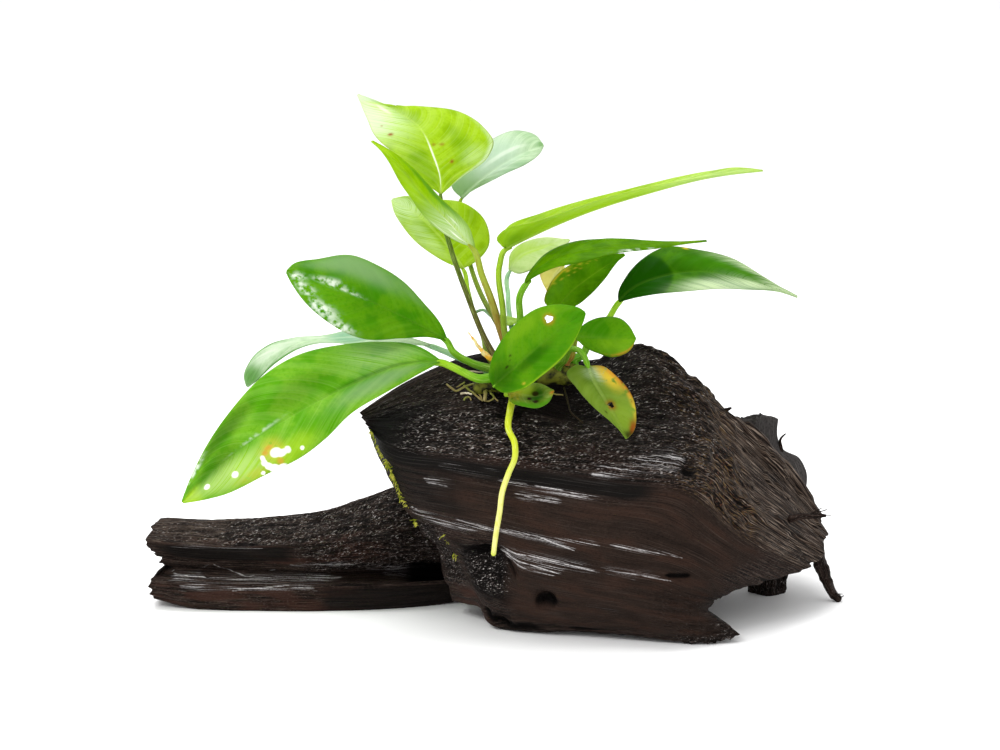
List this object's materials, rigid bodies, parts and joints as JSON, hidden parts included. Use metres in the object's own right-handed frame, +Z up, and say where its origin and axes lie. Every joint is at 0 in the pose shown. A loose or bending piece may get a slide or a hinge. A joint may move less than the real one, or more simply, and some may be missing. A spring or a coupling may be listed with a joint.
{
  "type": "aquarium plant on driftwood",
  "caption": "Broad-leaved epiphytic aquarium plant whose creeping rhizome grows on a dark piece of driftwood that stands on its flat underside.",
  "frame": {"origin": "the middle of the whole object's footprint, at the level of the surface the driftwood stands on", "axes": "+X to the right along the wood, +Y away from the viewer, +Z up"},
  "size_m": [0.2456, 0.1038, 0.1759],
  "materials": {
    "driftwood": "wet, fibrous and split, with glossy ridges",
    "rhizome": "knobbly plant skin",
    "fresh_blade": "satin young leaf",
    "dark_blade": "glossy grown leaf",
    "pale_blade": "satin pale leaf",
    "yellow_blade": "satin ageing leaf",
    "green_stalk": "smooth stalk skin",
    "red_stalk": "smooth stalk skin",
    "root": "smooth living root",
    "dry_sheath": "papery dry leaf sheath",
    "moss": "matte moss"
  },
  "bodies": {
    "root": {"driftwood_block": "driftwood", "driftwood_left_limb": "driftwood", "driftwood_rear_limb": "driftwood", "driftwood_splinter": "driftwood", "rhizome": "rhizome", "blade_low_left": "dark_blade", "blade_upper_left": "dark_blade", "blade_back_left": "pale_blade", "blade_top_folded": "fresh_blade", "blade_top_side": "fresh_blade", "blade_top_back": "pale_blade", "blade_round_back": "fresh_blade", "blade_long_right": "fresh_blade", "blade_pale_back": "pale_blade", "blade_arch_right": "dark_blade", "blade_mid_right": "dark_blade", "blade_far_right": "dark_blade", "blade_front_centre": "dark_blade", "blade_small_oval": "fresh_blade", "blade_yellow_hanging": "yellow_blade", "blade_spotted_low": "yellow_blade", "blade_withered": "yellow_blade", "blade_sprout": "fresh_blade", "stalk_low_left": "green_stalk", "stalk_upper_left": "green_stalk", "stalk_back_left": "green_stalk", "stalk_top_folded": "green_stalk", "stalk_top_side": "red_stalk", "stalk_top_back": "green_stalk", "stalk_round_back": "red_stalk", "stalk_long_right": "green_stalk", "stalk_pale_back": "green_stalk", "stalk_arch_right": "green_stalk", "stalk_mid_right": "green_stalk", "stalk_far_right": "green_stalk", "stalk_front_centre": "green_stalk", "stalk_small_oval": "red_stalk", "stalk_yellow_hanging": "green_stalk", "stalk_spotted_low": "green_stalk", "stalk_withered": "green_stalk", "stalk_sprout": "green_stalk", "hanging_root": "root", "fine_root_1": "root", "fine_root_2": "root", "fine_root_3": "root", "fine_root_4": "root", "dry_sheath": "dry_sheath", "moss_fringe": "moss"}
  },
  "joints": []
}
